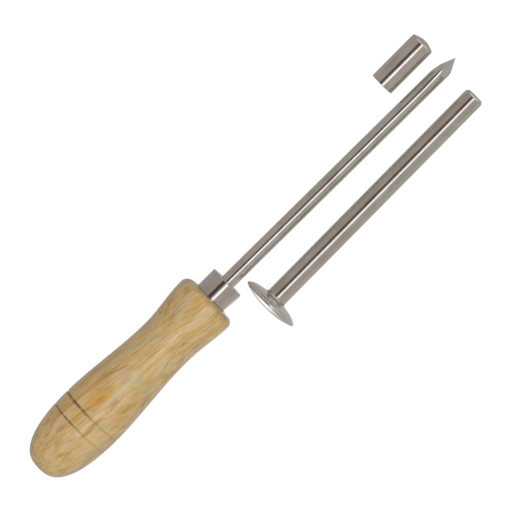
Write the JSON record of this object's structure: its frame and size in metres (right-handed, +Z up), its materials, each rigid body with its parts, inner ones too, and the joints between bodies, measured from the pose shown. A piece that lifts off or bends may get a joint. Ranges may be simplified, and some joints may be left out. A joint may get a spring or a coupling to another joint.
{
  "type": "trocar and cannula set",
  "caption": "Wooden-handled trocar with a three-sided point, its round-flanged cannula tube and a short closed guard cap, laid side by side.",
  "frame": {"origin": "on the table that the set lies on, under the middle of its bounding box", "axes": "+X along the trocar from the butt of its handle towards its point, as seen from above; +Z up from the table; +Y to the side of the guard cap"},
  "size_m": [0.269, 0.0566, 0.0379],
  "materials": {
    "wood": "clear lacquer over open-grained hardwood",
    "plated_ferrule": "polished nickel plate",
    "rod_steel": "polished nickel plate on steel",
    "resin": "cured resin",
    "plated_tube": "polished nickel plate",
    "solder": "satin silver solder",
    "plated_cap": "polished nickel plate"
  },
  "bodies": {
    "trocar": {"handle": "wood", "ferrule": "plated_ferrule", "trocar_rod": "rod_steel", "tang_adhesive": "resin"},
    "cannula": {"cannula_tube": "plated_tube", "cannula_flange": "plated_tube", "braze_fillet": "solder"},
    "cap": {"guard_cap": "plated_cap"}
  },
  "joints": [
    {"name": "cannula_slide", "type": "slide", "parent": "trocar", "child": "cannula", "axis": [1, 0, 0], "range_m": [0, 0.15]},
    {"name": "cap_slide", "type": "slide", "parent": "trocar", "child": "cap", "axis": [1, 0, 0], "range_m": [0, 0.035]}
  ]
}
